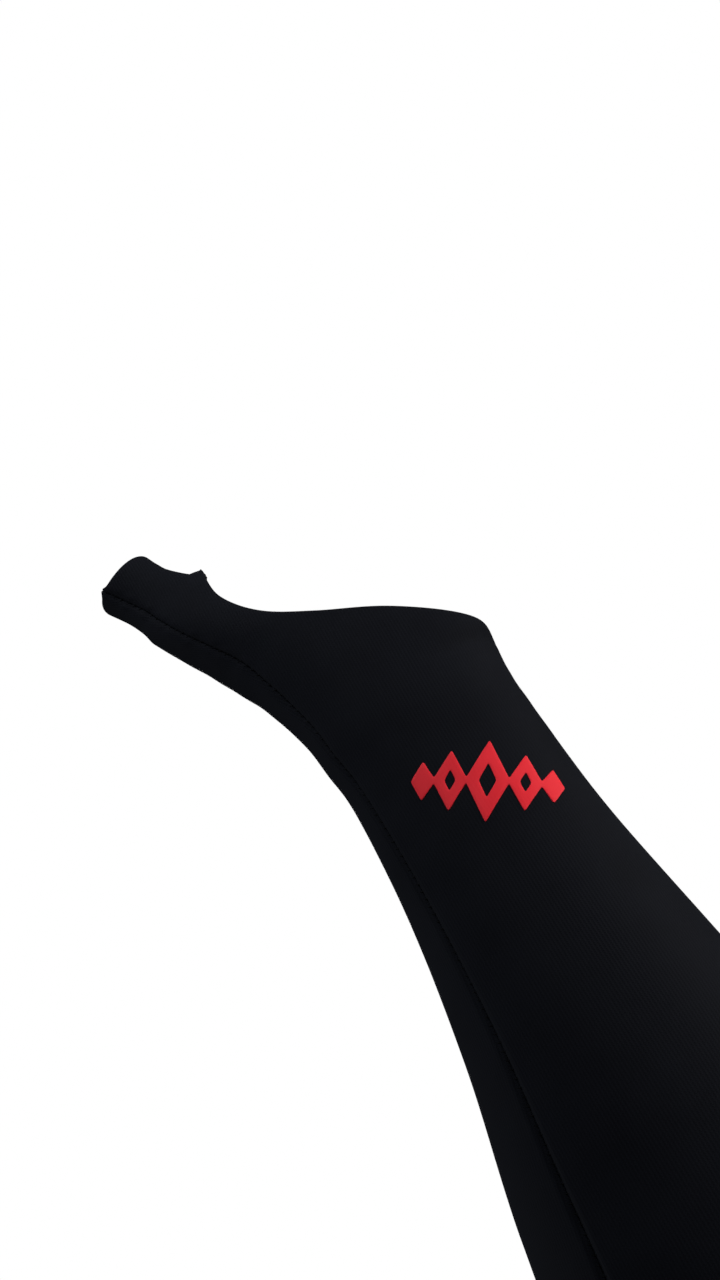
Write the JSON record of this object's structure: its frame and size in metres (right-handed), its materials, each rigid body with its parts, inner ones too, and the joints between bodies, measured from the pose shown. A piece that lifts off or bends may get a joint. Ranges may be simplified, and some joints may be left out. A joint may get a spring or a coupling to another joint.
{
  "type": "arm sleeve",
  "caption": "Close-fitting knit sleeve for a right arm, from the upper arm to the hand, open for the hand, with a stub over the base of the thumb and a small print on the back of the wrist.",
  "frame": {"origin": "middle of the wrist, where the arm wears it", "axes": "+Z along the forearm towards the hand, -X towards the thumb side, -Y out of the back of the hand, +Y out of the palm"},
  "size_m": [0.1212, 0.1163, 0.4924],
  "materials": {
    "stretch_knit": "fine black nylon and elastane knit, matte with a faint sheen",
    "print_film": "thin red heat-pressed film, satin"
  },
  "bodies": {
    "root": {"back_panel": "stretch_knit", "palm_panel": "stretch_knit", "wrist_print": "print_film"}
  },
  "joints": []
}
